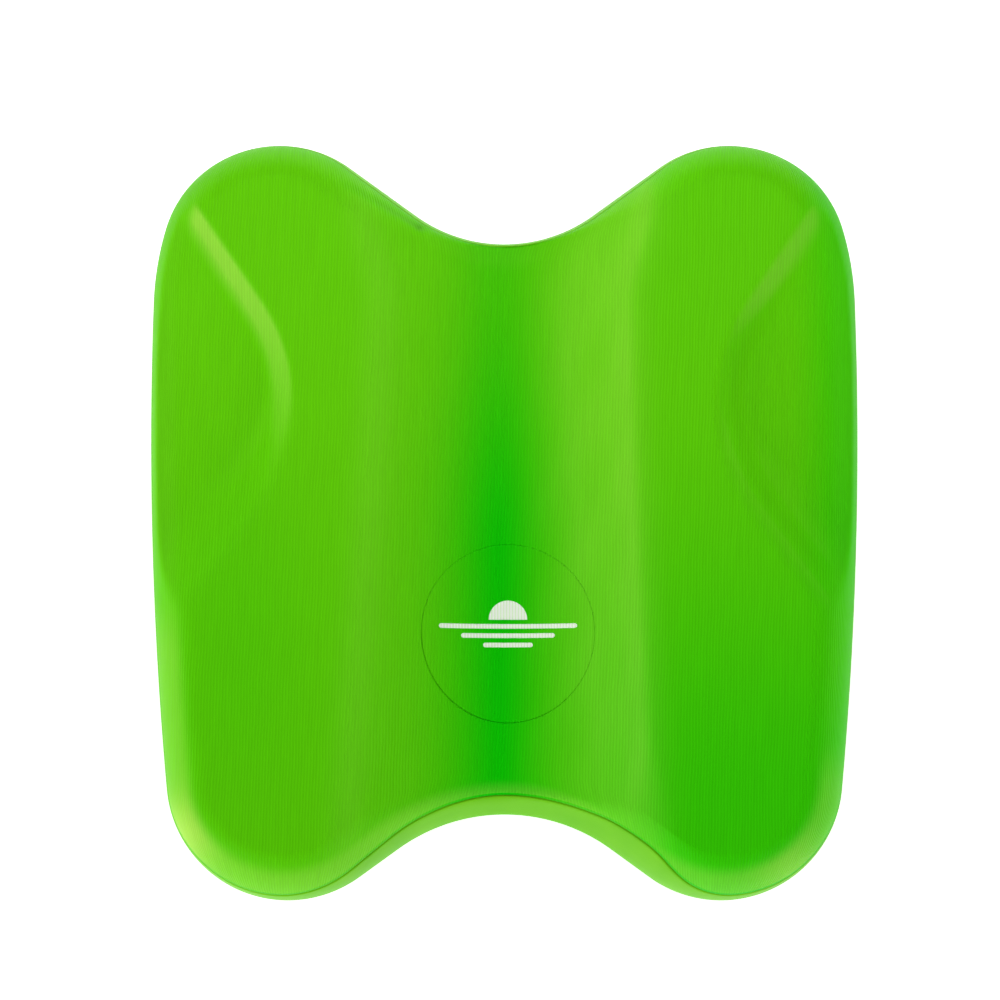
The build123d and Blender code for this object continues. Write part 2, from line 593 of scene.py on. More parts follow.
@dataclass(frozen=True)
class PaintedLight:
    """Painted light and shade on the sheet: deep green painted as shade, pale yellow-green as highlights.

    The core is the painted shade in the valley's floor; its widths and depths are those at its far
    and its near end. Pairs of highlights, shifts and shades are for the left and the right.
    """

    # Painted shade: the core in the valley's floor, the rest towards the near right, at the right edge, over
    # the right side and in a spot at the near left.
    core_x: float = -2.0
    core_widths: Pair = (16.5, 21.5)
    core_depths: Pair = (0.46, 0.97)
    core_over: Pair = (-15.0, 100.0)
    shade_drift: float = 0.68
    drift_over: Pair = (-110.0, 55.0)
    drift_left_share: float = 0.22
    drift_right_over: Pair = (0.0, 75.0)
    right_shade_share: float = 0.09
    right_over: Pair = (40.0, 60.0)
    left_shade_spot: Pair = (-95.0, -45.0)
    left_shade_size: Pair = (26.0, 62.0)
    left_shade_share: float = 0.17
    right_edge_shade: float = 0.5
    edge_over: Pair = (102.0, 124.0)
    edge_far_over: Pair = (-60.0, 0.0)
    # Painted highlights on the walls, crests and scoops; painted shade at the scoops' feet.
    wall_highlights: Pair = (0.012, 0.08)
    steepest: float = 1.6
    crest_highlight: float = 0.045
    crest_shifts: Pair = (-3.0, 2.0)
    crest_width: float = 7.0
    left_scoop_highlight: float = 0.125
    left_scoop_over: Pair = (0.0, 100.0)
    right_scoop_highlight: float = 0.05
    scoop_from: float = 62.0
    scoop_corner_y: float = 50.0
    flank_over: Pair = (8.0, 34.0)
    near_flank_share: float = 0.45
    foot_in: float = 7.5
    foot_width: float = 2.6
    foot_shades: Pair = (0.04, 0.14)
    foot_over: Pair = (60.0, 96.0)
    # Painted highlights on the rim, strongest in spots at the near left corner and the near right.
    rim_highlight: float = 0.02
    near_left_rim_highlight: float = 0.12
    left_rim_over: Pair = (60.0, 100.0)
    left_rim_along_over: Pair = (-52.0, -26.0)
    near_rim_highlight: float = 0.12
    near_rim_over: Pair = (-104.0, -80.0)
    corner: Pair = (-117.0, -116.0)
    corner_highlight: float = 0.40
    corner_size: float = 13.0
    right_spot: Pair = (104.0, -129.0)
    right_spot_highlight: float = 0.16

    def deep_shade(self, plan: Array) -> Array:
        """Share of the deep green painted as shade: in the valley's floor, towards the near right,
        at the right edge, over the right side and in a spot at the near left.

        Args:
            plan: Places.

        Returns:
            0 for the lands' colour, 1 for the deepest.
        """
        x, y = plan.T
        near = 1 - smooth_step(*self.core_over, y)
        core = between(*self.core_depths, near) * bell((x - self.core_x) / between(*self.core_widths, near))
        shade_drift = self.shade_drift * between(self.drift_left_share, 1.0, smooth_step(*self.drift_right_over, x))
        shade_drift = shade_drift * (1 - smooth_step(*self.drift_over, y))
        edge = self.right_edge_shade * smooth_step(*self.edge_over, x) * smooth_step(*self.edge_far_over, y)
        right = self.right_shade_share * smooth_step(*self.right_over, x)
        left_shade = self.left_shade_share * spot(plan, self.left_shade_spot, self.left_shade_size)
        return 1 - (1 - core) * (1 - shade_drift) * (1 - edge) * (1 - right) * (1 - left_shade)

    def drawn(self, form: PressedForm, plan: Array) -> Array:
        """Share of the pale colour painted as highlights on the sloping walls and along the valley's crests.

        Args:
            form: The pressed form.
            plan: Places.

        Returns:
            0 for the lands' colour, up to 1; below 0 for painted shade in a scoop's foot.
        """
        x, y = plan.T
        left, at_scoop = x < 0, np.abs(x) >= self.scoop_from
        flank = smooth_step(*self.flank_over, np.abs(y - self.scoop_corner_y))
        flank = flank * np.where(y < self.scoop_corner_y, self.near_flank_share, 1.0)
        left_scoop = self.left_scoop_highlight * smooth_step(*self.left_scoop_over, y)
        scoop = np.where(left, left_scoop, self.right_scoop_highlight * flank)
        share = np.where(at_scoop, scoop, np.where(left, *self.wall_highlights))
        off_crest = np.abs(x - form.valley.middle(y)) - form.valley.half_width_at(y)
        crest = self.crest_highlight * bell((off_crest + np.where(left, *self.crest_shifts)) / self.crest_width)
        # Painted shade at the scoops' feet.
        foot = np.where(left, *self.foot_shades) * at_scoop * (1 - smooth_step(*self.foot_over, y))
        foot = foot * bell((form.scoop.inside(plan) - self.foot_in) / self.foot_width)
        return share * np.clip(form.slant(plan), 0.0, self.steepest) ** 2 + crest - foot

    def rim(self, plan: Array) -> Array:
        """Share of the pale colour painted as highlights on the rim, most at the near left corner.

        Args:
            plan: Places.

        Returns:
            0 for the lands' colour, up to 1.
        """
        x, y = plan.T
        near_left = smooth_step(*self.left_rim_over, -x) * (1 - smooth_step(*self.left_rim_along_over, y))
        near = 1 - smooth_step(*self.near_rim_over, y)
        ends = between(self.near_rim_highlight * near, self.near_left_rim_highlight, near_left)
        corner = self.corner_highlight * spot(plan, self.corner, self.corner_size)
        right = self.right_spot_highlight * spot(plan, self.right_spot, self.corner_size)
        return self.rim_highlight + ends + corner + right


# ---------------------------------------------------------------- mesh building


class QuadGrid:
    """Quads that fill the plan inside the rim, with a closed loop of points round them."""

    def __init__(self, form: PressedForm, across: int, along: int) -> None:
        """Lay out the plan.

        Args:
            form: The pressed form.
            across: Steps from left to right.
            along: Steps from far to near.
        """
        self.across, self.along = across, along
        self.edge, self.inward = form.outline.loop(across, along)
        self.power = form.rim.powers(self.edge, self.inward)
        self.cells = self._fill(self.edge + self.inward * form.rim.width)
        self.plan = self.cells.reshape(-1, 2)

    def _fill(self, loop: Array) -> Array:
        """Blend the four sides of a closed loop into a grid.

        Args:
            loop: Points of the loop, from the left far corner, clockwise.

        Returns:
            Grid points, (along + 1, across + 1, 2).
        """
        a, b = self.across, self.along
        closed = np.vstack([loop, loop[:1]])
        far, right = closed[: a + 1], closed[a : a + b + 1]
        near, left = closed[a + b : 2 * a + b + 1][::-1], closed[2 * a + b :][::-1]
        u = np.linspace(0, 1, a + 1)[None, :, None]
        v = np.linspace(0, 1, b + 1)[:, None, None]
        ruled = between(far[None], near[None], v) + between(left[:, None], right[:, None], u)
        return ruled - between(between(far[0], far[-1], u), between(near[0], near[-1], u), v)

    def shaped(self, ids: Array) -> Array:
        """Point numbers as rows of the grid."""
        return ids.reshape(self.along + 1, self.across + 1)

    def inset_by(self, inset: Array) -> Array:
        """Places at an inset from the outline."""
        return self.edge + self.inward * inset[:, None]


class MeshParts:
    """Points, quads and per-point facts of a mesh that is being put together."""

    def __init__(self) -> None:
        """Start empty."""
        self.points: list[Array] = []
        self.sheet: list[Array] = []
        self.light_and_shade: list[Array] = []
        self.faces: list[Array] = []
        self.count = 0

    def add_points(
        self, plan: Array, rise: Array, sheet: Array | None = None, light_and_shade: Array | float = 0.0
    ) -> Array:
        """Add points.

        Args:
            plan: Places, mm.
            rise: Their rise, mm.
            sheet: Across and along the flat sheet in mm, and the share of deep green painted as shade.
            light_and_shade: Share of the pale colour painted as highlights; below 0 for painted shade in
                creases, along the seam and at the scoops' feet.

        Returns:
            Numbers of the new points.
        """
        self.points.append(np.column_stack([plan, rise]))
        self.sheet.append(np.zeros((len(plan), 3)) if sheet is None else sheet)
        self.light_and_shade.append(np.broadcast_to(light_and_shade, len(plan)))
        self.count += len(plan)
        return np.arange(self.count - len(plan), self.count)

    def add_grid(self, ids: Array, skip: Array | None = None) -> None:
        """Add the quads of a grid of point numbers, but for the cells that skip marks."""
        quads = np.stack([ids[:-1, :-1], ids[:-1, 1:], ids[1:, 1:], ids[1:, :-1]], axis=-1)
        self.faces.append(quads.reshape(-1, 4) if skip is None else quads[~skip])

    def add_band(self, one: Array, other: Array) -> None:
        """Join two closed loops of points with quads."""
        self.faces.append(np.stack([one, np.roll(one, -1), np.roll(other, -1), other], axis=1))

    def add_tube(self, loops: list[Array]) -> None:
        """Join a row of closed loops of points, each to the next."""
        for one, other in zip(loops, loops[1:]):
            self.add_band(one, other)

    def build(self, name: str, side: Side, mid: float, material: Material) -> bpy.types.Object:
        """Make the object.

        Args:
            name: Name of the piece.
            side: Face of the float that it is on.
            mid: Height of the middle plane, mm.
            material: Its finish.

        Returns:
            The object, in metres.
        """
        points = np.vstack(self.points)
        points[:, 2] = mid + side.value * points[:, 2]
        mesh = bpy.data.meshes.new(name)
        mesh.from_pydata((points * MM).tolist(), [], np.vstack(self.faces).tolist())
        sheet = mesh.attributes.new("sheet", "FLOAT_VECTOR", "POINT")
        sheet.data.foreach_set("vector", np.vstack(self.sheet).ravel())
        light_and_shade = mesh.attributes.new("light_and_shade", "FLOAT", "POINT")
        light_and_shade.data.foreach_set("value", np.concatenate(self.light_and_shade))
        shell = bmesh.new()
        shell.from_mesh(mesh)
        loose = [v for v in shell.verts if not v.link_faces]
        bmesh.ops.delete(shell, geom=loose, context="VERTS")
        bmesh.ops.recalc_face_normals(shell, faces=shell.faces)
        shell.to_mesh(mesh)
        shell.free()
        mesh.shade_smooth()
        mesh.materials.append(material)
        piece = bpy.data.objects.new(name, mesh)
        bpy.context.scene.collection.objects.link(piece)
        return piece


# ---------------------------------------------------------------- finishes


def rib_wave(tree: Tree, across: Socket | Node, pitch: float) -> Node:
    """Draw the sheet's ribs.

    Args:
        tree: The node tree.
        across: What gives the place across the ribs, mm.
        pitch: Width of a rib and its groove, mm.

    Returns:
        The node that runs from 0 in a groove to 1 on a rib.
    """
    angle = add_node(tree, "Math", {0: across, 1: 2 * math.pi / pitch}, operation="MULTIPLY")
    wave = add_node(tree, "Math", {0: angle}, operation="SINE")
    return add_node(tree, "Math", {0: wave, 1: 0.5, 2: 0.5}, operation="MULTIPLY_ADD")


@dataclass(frozen=True)
class Finish:
    """A finish: what every one of them is built by."""

    name: str

    def look(self, tree: Tree) -> dict:
        """Add the nodes that are the finish's own.

        Args:
            tree: The node tree.

        Returns:
            Inputs of the surface, by name.
        """
        raise NotImplementedError

    def make(self) -> Material:
        """Build the node material.

        Returns:
            The material.
        """
        material = bpy.data.materials.new(self.name)
        material.use_nodes = True
        tree = material.node_tree
        tree.nodes.clear()
        surface = add_node(tree, "BsdfPrincipled", self.look(tree))
        add_node(tree, "OutputMaterial", {"Surface": surface})
        return material


@dataclass(frozen=True)
class RibbedSkinFinish(Finish):
    """Closed-cell EVA foam sheet, embossed with fine ribs and heat-pressed.

    The ribs give it a combed look that turns with the light. Its colour is mixed with a deep green
    for painted shade and a pale yellow-green for painted highlights, and darkened in the ribs'
    grooves for painted shade. Its cells are finer than the grain here, which is as coarse as it
    needs to be to show.
    """

    name: str = "pressed_eva_skin"
    land: str = "#60C806"
    # Deep green, painted as shade.
    deep_shade: str = "#00C400"
    # Pale yellow-green, painted as highlights.
    drawn: str = "#C8E864"
    crease_shade: float = 0.38
    rib_pitch: float = 1.08
    rib_depth: float = 0.09
    rib_lean: float = 2.0
    rib_shade: float = 0.10
    sway: float = 1.6
    sway_size: float = 26.0
    mottle_size: float = 1.5
    mottle_stretch: float = 0.07
    mottle_amount: float = 0.028
    mottle_over: Pair = (0.3, 0.7)
    grain_size: float = 0.35
    grain_depth: float = 0.015
    roughness: float = 0.45
    specular: float = 0.02

    def look(self, tree: Tree) -> dict:
        """Dye the sheet and emboss it.

        Args:
            tree: The node tree.

        Returns:
            Inputs of the surface, by name.
        """
        sheet = add_node(tree, "Attribute", attribute_name="sheet").outputs["Vector"]
        lean = math.radians(self.rib_lean)
        turned = add_node(tree, "VectorRotate", {0: sheet, "Angle": lean}, rotation_type="Z_AXIS")
        parts = add_node(tree, "SeparateXYZ", {0: turned})
        sway = add_node(tree, "TexNoise", {"Vector": turned, "Scale": 1 / self.sway_size, "Detail": 1.0})
        swayed = {0: sway, 1: self.sway, 2: parts.outputs["X"]}
        phase = add_node(tree, "Math", swayed, operation="MULTIPLY_ADD")
        rib = rib_wave(tree, phase, self.rib_pitch)
        grain = add_node(tree, "TexNoise", {"Vector": sheet, "Scale": 1 / self.grain_size, "Detail": 2.0})
        ribbed = add_node(tree, "Bump", {"Height": rib, "Strength": 1.0, "Distance": self.rib_depth * MM})
        rough = add_node(
            tree, "Bump",
            {"Height": grain, "Strength": 1.0, "Distance": self.grain_depth * MM, "Normal": ribbed},
        )
        painted_colour = self._colour_with_painted_light(tree, turned, parts.outputs["Z"], rib)
        gloss = {"Roughness": self.roughness, "Specular IOR Level": self.specular}
        return {"Base Color": painted_colour, "Normal": rough, **gloss}

    def _colour_with_painted_light(self, tree: Tree, turned: Node, depth: Socket, rib: Node) -> Node:
        """Mix the lands' colour with the painted shade and painted highlights, with its mottle and the
        painted shade in the ribs' grooves, the creases and along the seam.

        Args:
            tree: The node tree.
            turned: Place on the flat sheet, turned to the ribs.
            depth: Share of the deep green painted as shade.
            rib: The ribs' wave.

        Returns:
            The node that gives the colour.
        """
        light_and_shade = add_node(tree, "Attribute", attribute_name="light_and_shade").outputs["Fac"]
        colour = linear(self.land)
        # Mix in the deep green painted as shade, then the pale yellow-green painted as highlights.
        for share, lighting_paint in ((depth, self.deep_shade), (light_and_shade, self.drawn)):
            mixed = add_node(tree, "Mix", {"Factor": share, "A": colour, "B": linear(lighting_paint)}, data_type="RGBA")
            colour = mixed.outputs["Result"]
        streaks = add_node(
            tree, "VectorMath", {0: turned, 1: (1.0, self.mottle_stretch, 0.0)}, operation="MULTIPLY"
        )
        mottle = add_node(tree, "TexNoise", {"Vector": streaks, "Scale": 1 / self.mottle_size, "Detail": 3.0})
        # Mottle, then painted shade in the ribs' grooves and where the painted light share is below 0.
        for source, low, high, dark, light in (
            (mottle, *self.mottle_over, 1 - self.mottle_amount, 1 + self.mottle_amount),
            (rib, 0.0, 1.0, 1 - self.rib_shade, 1.0),
            (light_and_shade, -1.0, 0.0, 1 - self.crease_shade, 1.0),
        ):
            shade = add_node(
                tree, "MapRange",
                {"Value": source, "From Min": low, "From Max": high, "To Min": dark, "To Max": light},
            )
            colour = add_node(tree, "VectorMath", {0: colour, "Scale": shade}, operation="SCALE")
        return colour


@dataclass(frozen=True)
class MouldedEdgeFinish(Finish):
    """Moulded EVA foam with no embossing: the core's bare edge.

    It looks smooth, with a faint cloudiness. Its closed cells are finer than the cells
    here, which are as coarse as they need to be to show.
    """

    name: str = "moulded_eva_core"
    body: str = "#74C410"
    deep: str = "#5EB60A"
    cell_size: float = 0.5
    cell_depth: float = 0.02
    cloud_size: float = 14.0
    roughness: float = 0.45
    specular: float = 0.08

    def look(self, tree: Tree) -> dict:
        """Cloud the colour and dimple the surface with cells.

        Args:
            tree: The node tree.

        Returns:
            Inputs of the surface, by name.
        """
        place = add_node(tree, "TexCoord").outputs["Object"]
        cloud_scale, cell_scale = 1 / (self.cloud_size * MM), 1 / (self.cell_size * MM)
        cloud = add_node(tree, "TexNoise", {"Vector": place, "Scale": cloud_scale, "Detail": 3.0})
        mixed = add_node(
            tree, "Mix", {"Factor": cloud, "A": linear(self.body), "B": linear(self.deep)}, data_type="RGBA"
        )
        cells = add_node(tree, "TexVoronoi", {"Vector": place, "Scale": cell_scale}, feature="F1")
        bump = add_node(tree, "Bump", {"Height": cells, "Strength": 1.0, "Distance": self.cell_depth * MM})
        gloss = {"Roughness": self.roughness, "Specular IOR Level": self.specular}
        return {"Base Color": mixed.outputs["Result"], "Normal": bump, **gloss}


@dataclass(frozen=True)
class ScreenInkFinish(Finish):
    """White screen ink: flat and opaque, with the ribs of the sheet just showing through."""

    name: str = "screen_ink"
    ink: str = "#F1F5EE"
    thin: str = "#D6EFC6"
    rib_pitch: float = 1.08
    rib_depth: float = 0.04
    roughness: float = 0.42

    def look(self, tree: Tree) -> dict:
        """Thin the ink in the ribs' grooves.

        Args:
            tree: The node tree.

        Returns:
            Inputs of the surface, by name.
        """
        sheet = add_node(tree, "Attribute", attribute_name="sheet").outputs["Vector"]
        rib = rib_wave(tree, add_node(tree, "SeparateXYZ", {0: sheet}).outputs["X"], self.rib_pitch)
        ink = add_node(
            tree, "Mix", {"Factor": rib, "A": linear(self.thin), "B": linear(self.ink)}, data_type="RGBA"
        )
        bump = add_node(tree, "Bump", {"Height": rib, "Strength": 1.0, "Distance": self.rib_depth * MM})
        return {"Base Color": ink.outputs["Result"], "Roughness": self.roughness, "Normal": bump}


@dataclass(frozen=True)
class StudioPaperFinish(Finish):
    """White studio paper: matt, and lit enough from behind to stay white round the float."""

    name: str = "studio_paper"
    paper: str = "#F4F4F2"
    glow: float = 0.72
    fibre_size: float = 2.0
    fibre_depth: float = 0.05
    fibre_strength: float = 0.1
    roughness: float = 0.9

    def look(self, tree: Tree) -> dict:
        """Light the paper and roughen it with fibres.

        Args:
            tree: The node tree.

        Returns:
            Inputs of the surface, by name.
        """
        place = add_node(tree, "TexCoord").outputs["Object"]
        fibre = add_node(tree, "TexNoise", {"Vector": place, "Scale": 1 / (self.fibre_size * MM)})
        bump = add_node(
            tree, "Bump",
            {"Height": fibre, "Strength": self.fibre_strength, "Distance": self.fibre_depth * MM},
        )
        light = {"Emission Color": WHITE, "Emission Strength": self.glow}
        return {"Base Color": linear(self.paper), "Roughness": self.roughness, "Normal": bump, **light}


# ---------------------------------------------------------------- the pieces


@dataclass(frozen=True)
class InlayOutline:
    """Edge of the round inlaid disc; bent into the valley it is a little narrower than long."""

    centre: Pair
    half_width: float
    half_length: float
    gap: float = 0.06
    lip_round: float = 0.5
    lip_shares: tuple[float, ...] = (1.8, 1.0, 0.6, 0.3, 0.1, 0.0)
    shallow: float = 0.25
    deepest_way: float = 235.0

    def at(self, angle: Array, inside: float) -> Array:
        """Points on the edge, or a distance inside it.

        Args:
            angle: Angles round the edge.
            inside: Distance inside it.

        Returns:
            The places.
        """
        x = self.centre[0] + (self.half_width - inside) * np.cos(angle)
        y = self.centre[1] + (self.half_length - inside) * np.sin(angle)
        return np.stack([x, y], axis=1)

    def angles(self, plan: Array) -> Array:
        """Angles at which places lie round the edge."""
        across, along = ((plan - self.centre) / (self.half_width, self.half_length)).T
        return np.arctan2(along, across)

    def lip_steps(self, gap: float) -> Array:
        """Distances from the edge of the rings that make a rolled lip."""
        return gap + self.lip_round * np.array(self.lip_shares)

    def drop(self, angle: Array, beyond: Array | float) -> Array:
        """How far a rolled lip sinks.

        Args:
            angle: Angles round the edge; the joint is deepest at the near left.
            beyond: Distances from the end of the lip.

        Returns:
            The drop there.
        """
        in_lip = np.clip(1 - beyond / self.lip_round, 0.0, 1.0)
        facing = np.maximum(np.cos(angle - math.radians(self.deepest_way)), 0.0)
        return between(self.shallow, 1.0, facing) * self.lip_round * (1 - np.sqrt(1 - in_lip**2))


@dataclass(kw_only=True)
class FloatPiece:
    """A piece of the float, with the CAD node that it stands for and its material slot."""

    name: str
    node: str
    slot: str
    form: PressedForm
    side: Side = Side.TOP
    foam: bool = True

    def shape(self, parts: MeshParts) -> None:
        """Add the piece's points and quads.

        Args:
            parts: The mesh so far.
        """
        raise NotImplementedError

    def place(self, mid: float, material: Material) -> None:
        """Build the piece and hand it to the frame.

        Args:
            mid: Height of the middle plane, mm.
            material: Its finish.
        """
        parts = MeshParts()
        self.shape(parts)
        piece = parts.build(self.name, self.side, mid, material)
        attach(piece, BODY)
        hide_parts(self.node)
        LOG.info("%s: %d points, %d faces", piece.name, len(piece.data.vertices), len(piece.data.polygons))


@dataclass(kw_only=True)
class SkinSheet(FloatPiece):
    """One ribbed skin, a closed sheet pressed over a core half; the top one has a round hole."""

    slot: str = "ribbed_skin"
    lighting_paint: PaintedLight = field(default_factory=PaintedLight)
    thickness: float = 3.0
    edge_round: float = 0.8
    edge_start: float = 0.3
    rim_highlight_over: Pair = (0.22, 0.55)
    seam_shade_reach: float = 2.0
    hole: InlayOutline | None = None
    across: int = 180
    along: int = 184
    rim_rings: int = 17
    frame_reach: float = 38.0
    frame_rings: int = 11

    def shape(self, parts: MeshParts) -> None:
        """Add both faces, and join them at the edge and at the hole's lip.

        Args:
            parts: The mesh so far.
        """
        grid = QuadGrid(self.form, self.across, self.along)
        skip = None if self.hole is None else self._hole_cells(grid)
        outer, inner = (self._face(parts, grid, skip, depth) for depth in (0.0, self.thickness))
        for one, other in zip(outer, inner):
            parts.add_band(one, other)

    def _face(self, parts: MeshParts, grid: QuadGrid, skip: Array | None, depth: float) -> list[Array]:
        """Add the outer or the inner face of the sheet.

        Args:
            parts: The mesh so far.
            grid: The plan.
            skip: Cells to leave out for the hole.
            depth: How far the face lies under the outer one.

        Returns:
            The loop of points at the sheet's edge and, where there is a hole, at its lip.
        """
        # Painted highlights, less the painted shade in the fold's crease.
        light_share = self.lighting_paint.drawn(self.form, grid.plan) - self._fold_shade(grid.plan)
        rise = self._rise(grid.plan, None, depth)
        ids = grid.shaped(parts.add_points(grid.plan, rise, self._sheet(grid.plan), light_share))
        parts.add_grid(ids, skip)
        rings, seam = [outer_loop(ids)], self.form.rim.seam(grid.edge)
        for inset, level, run in self._rim_levels(grid, depth):
            place = grid.inset_by(inset)
            # Towards the rim's outside the walls' painted highlights give way to the rim's painted
            # highlights, less the fold's painted shade.
            out = smooth_step(*self.rim_highlight_over, 1 - inset / self.form.rim.width)
            drawn = self.lighting_paint.drawn(self.form, place)
            drawn = np.where(np.abs(place[:, 0]) > self.lighting_paint.scoop_from, drawn * (1 - out), drawn)
            light_share = np.maximum(drawn, self.lighting_paint.rim(place) * out) - self._fold_shade(place)
            # Painted shade along the skin's edge, in the groove where it meets the core.
            if depth == 0:
                light_share = light_share - (1 - smooth_step(0.0, self.seam_shade_reach, level - seam))
            sheet = self._sheet(place - grid.inward * run[:, None])
            rings.append(parts.add_points(place, self._rise(place, level, depth), sheet, light_share))
        parts.add_tube(rings)
        return rings[-1:] if skip is None else [rings[-1], self._lip(parts, grid, ids, skip, depth)]

    def _rise(self, plan: Array, level: Array | None, depth: float) -> Array:
        """Rise of the pressed face at a depth, with the fold on the top."""
        folded = self.side is Side.TOP and depth == 0
        return self.form.rise(plan, level, depth) - (self.form.fold.drop(plan) if folded else 0.0)

    def _fold_shade(self, plan: Array) -> Array | float:
        """Painted shade in the fold's crease: 0 off it, 1 in it."""
        return self.form.fold.share(plan) if self.side is Side.TOP else 0.0

    def _sheet(self, plan: Array) -> Array:
        """Where each point lies on the flat sheet, and the share of deep green painted there as shade."""
        return np.column_stack([plan, self.lighting_paint.deep_shade(plan)])

    def _rim_levels(self, grid: QuadGrid, depth: float) -> Rings:
        """Rings of the rim, from the lands down to the sheet's edge.

        Args:
            grid: The plan.
            depth: How far the face lies under the outer one.

        Returns:
            For each ring its inset, its rise, and how much longer the sheet is than its plan.
        """
        seam, turn = self.form.rim.seam(grid.edge), self.edge_round
        levels = self.form.rim.rings(grid.power, self.form.top, seam + turn, depth, self.rim_rings)
        inset, _, run = levels[-1]
        if depth > 0:
            return levels + [(inset, seam, run)]
        start = turn * self.edge_start
        return levels + [(inset + start, seam + start, run), (inset + turn, seam, run)]

    def _hole_cells(self, grid: QuadGrid) -> Array:
        """Mark the square block of cells that the hole and its frame of rings take.

        Args:
            grid: The plan.

        Returns:
            True for each cell to leave out.
        """
        down = grid.cells[:, self.across // 2, 1] - self.hole.centre[1]
        over = grid.cells[int(np.argmin(np.abs(down))), :, 0] - self.hole.centre[0]
        far, near = (int(np.argmin(np.abs(down - way * self.frame_reach))) for way in (1, -1))
        left, right = (int(np.argmin(np.abs(over - way * self.frame_reach))) for way in (-1, 1))
        skip = np.zeros((self.along, self.across), bool)
        skip[far:near, left:right] = True
        return skip

    def _lip(self, parts: MeshParts, grid: QuadGrid, ids: Array, skip: Array, depth: float) -> Array:
        """Fill between the block's square edge and the round hole.

        Args:
            parts: The mesh so far.
            grid: The plan.
            ids: Numbers of the grid's points.
            skip: The block's cells.
            depth: How far the face lies under the outer one.

        Returns:
            The loop of points at the hole's lip.
        """
        rows, columns = np.where(skip)
        rings = [outer_loop(ids[rows.min() : rows.max() + 2, columns.min() : columns.max() + 2])]
        square = grid.plan[rings[0] - ids.min()]
        angle = self.hole.angles(square)
        edge = self.hole.at(angle, 0.0)
        reach = np.hypot(*(square - edge).T)
        lip = self.hole.lip_steps(self.hole.gap)
        frame = [between(lip[0], reach, share) for share in np.linspace(1, 0, self.frame_rings)[1:-1]]
        for beyond in frame + [np.full(len(angle), step) for step in lip]:
            place = edge + (square - edge) * (beyond / reach)[:, None]
            drop = self.hole.drop(angle, beyond - self.hole.gap) if depth == 0 else 0.0
            # The frame and lip get the painted highlights of the surface they lie on.
            rise, light_share = self._rise(place, None, depth) - drop, self.lighting_paint.drawn(self.form, place)
            rings.append(parts.add_points(place, rise, self._sheet(place), light_share))
        parts.add_tube(rings)
        return rings[-1]


@dataclass(kw_only=True)
class CoreHalf(FloatPiece):
    """One half of the foam core; only its bare edge shows, between the skins."""

    slot: str = "core_foam"
    skin: float = 3.05
    seam_gap: float = 0.22
    edge_round: float = 0.4
    bond_round: float = 0.25
    across: int = 150
    along: int = 152
    rim_rings: int = 14
    band_rings: int = 14

    def shape(self, parts: MeshParts) -> None:
        """Add the face under the skin, the bare edge and the bonded face.

        Args:
            parts: The mesh so far.
        """
        grid = QuadGrid(self.form, self.across, self.along)
        rings = [self._cap(parts, grid, self.form.rise(grid.plan, depth=self.skin))]
        rings += [parts.add_points(grid.inset_by(inset), rise) for inset, rise in self._levels(grid)]
        rings.append(self._cap(parts, grid, np.zeros(len(grid.plan))))
        parts.add_tube(rings)

    def _cap(self, parts: MeshParts, grid: QuadGrid, rise: Array) -> Array:
        """Add a cap over the plan inside the rim.

        Args:
            parts: The mesh so far.
            grid: The plan.
            rise: Rise of its points.

        Returns:
            The loop of points at its edge.
        """
        ids = grid.shaped(parts.add_points(grid.plan, rise))
        parts.add_grid(ids)
        return outer_loop(ids)

    def _levels(self, grid: QuadGrid) -> list[tuple[Array, Array]]:
        """Rings from the cap down under the skin, out along the ledge and down the bare edge.

        Args:
            grid: The plan.

        Returns:
            Inset and rise of each ring.
        """
        rim, top, turn = self.form.rim, self.form.top, self.edge_round
        seam = rim.seam(grid.edge) - self.seam_gap
        levels = []
        for inset, level, _ in rim.rings(grid.power, top, seam + turn, self.skin, self.rim_rings):
            levels.append((inset, self.form.rise(grid.inset_by(inset), level, self.skin)))
        bond = np.full(len(seam), self.bond_round)
        inset, rise = rim.profile(grid.power, top, bond, seam - turn, self.band_rings)
        bare = [(inset[-1] + turn, seam), *zip(inset[::-1], rise[::-1])]
        levels += [(out, np.minimum(level, self.form.rise(grid.inset_by(out), level))) for out, level in bare]
        return levels + [(inset[0] + self.bond_round, np.zeros(len(seam)))]


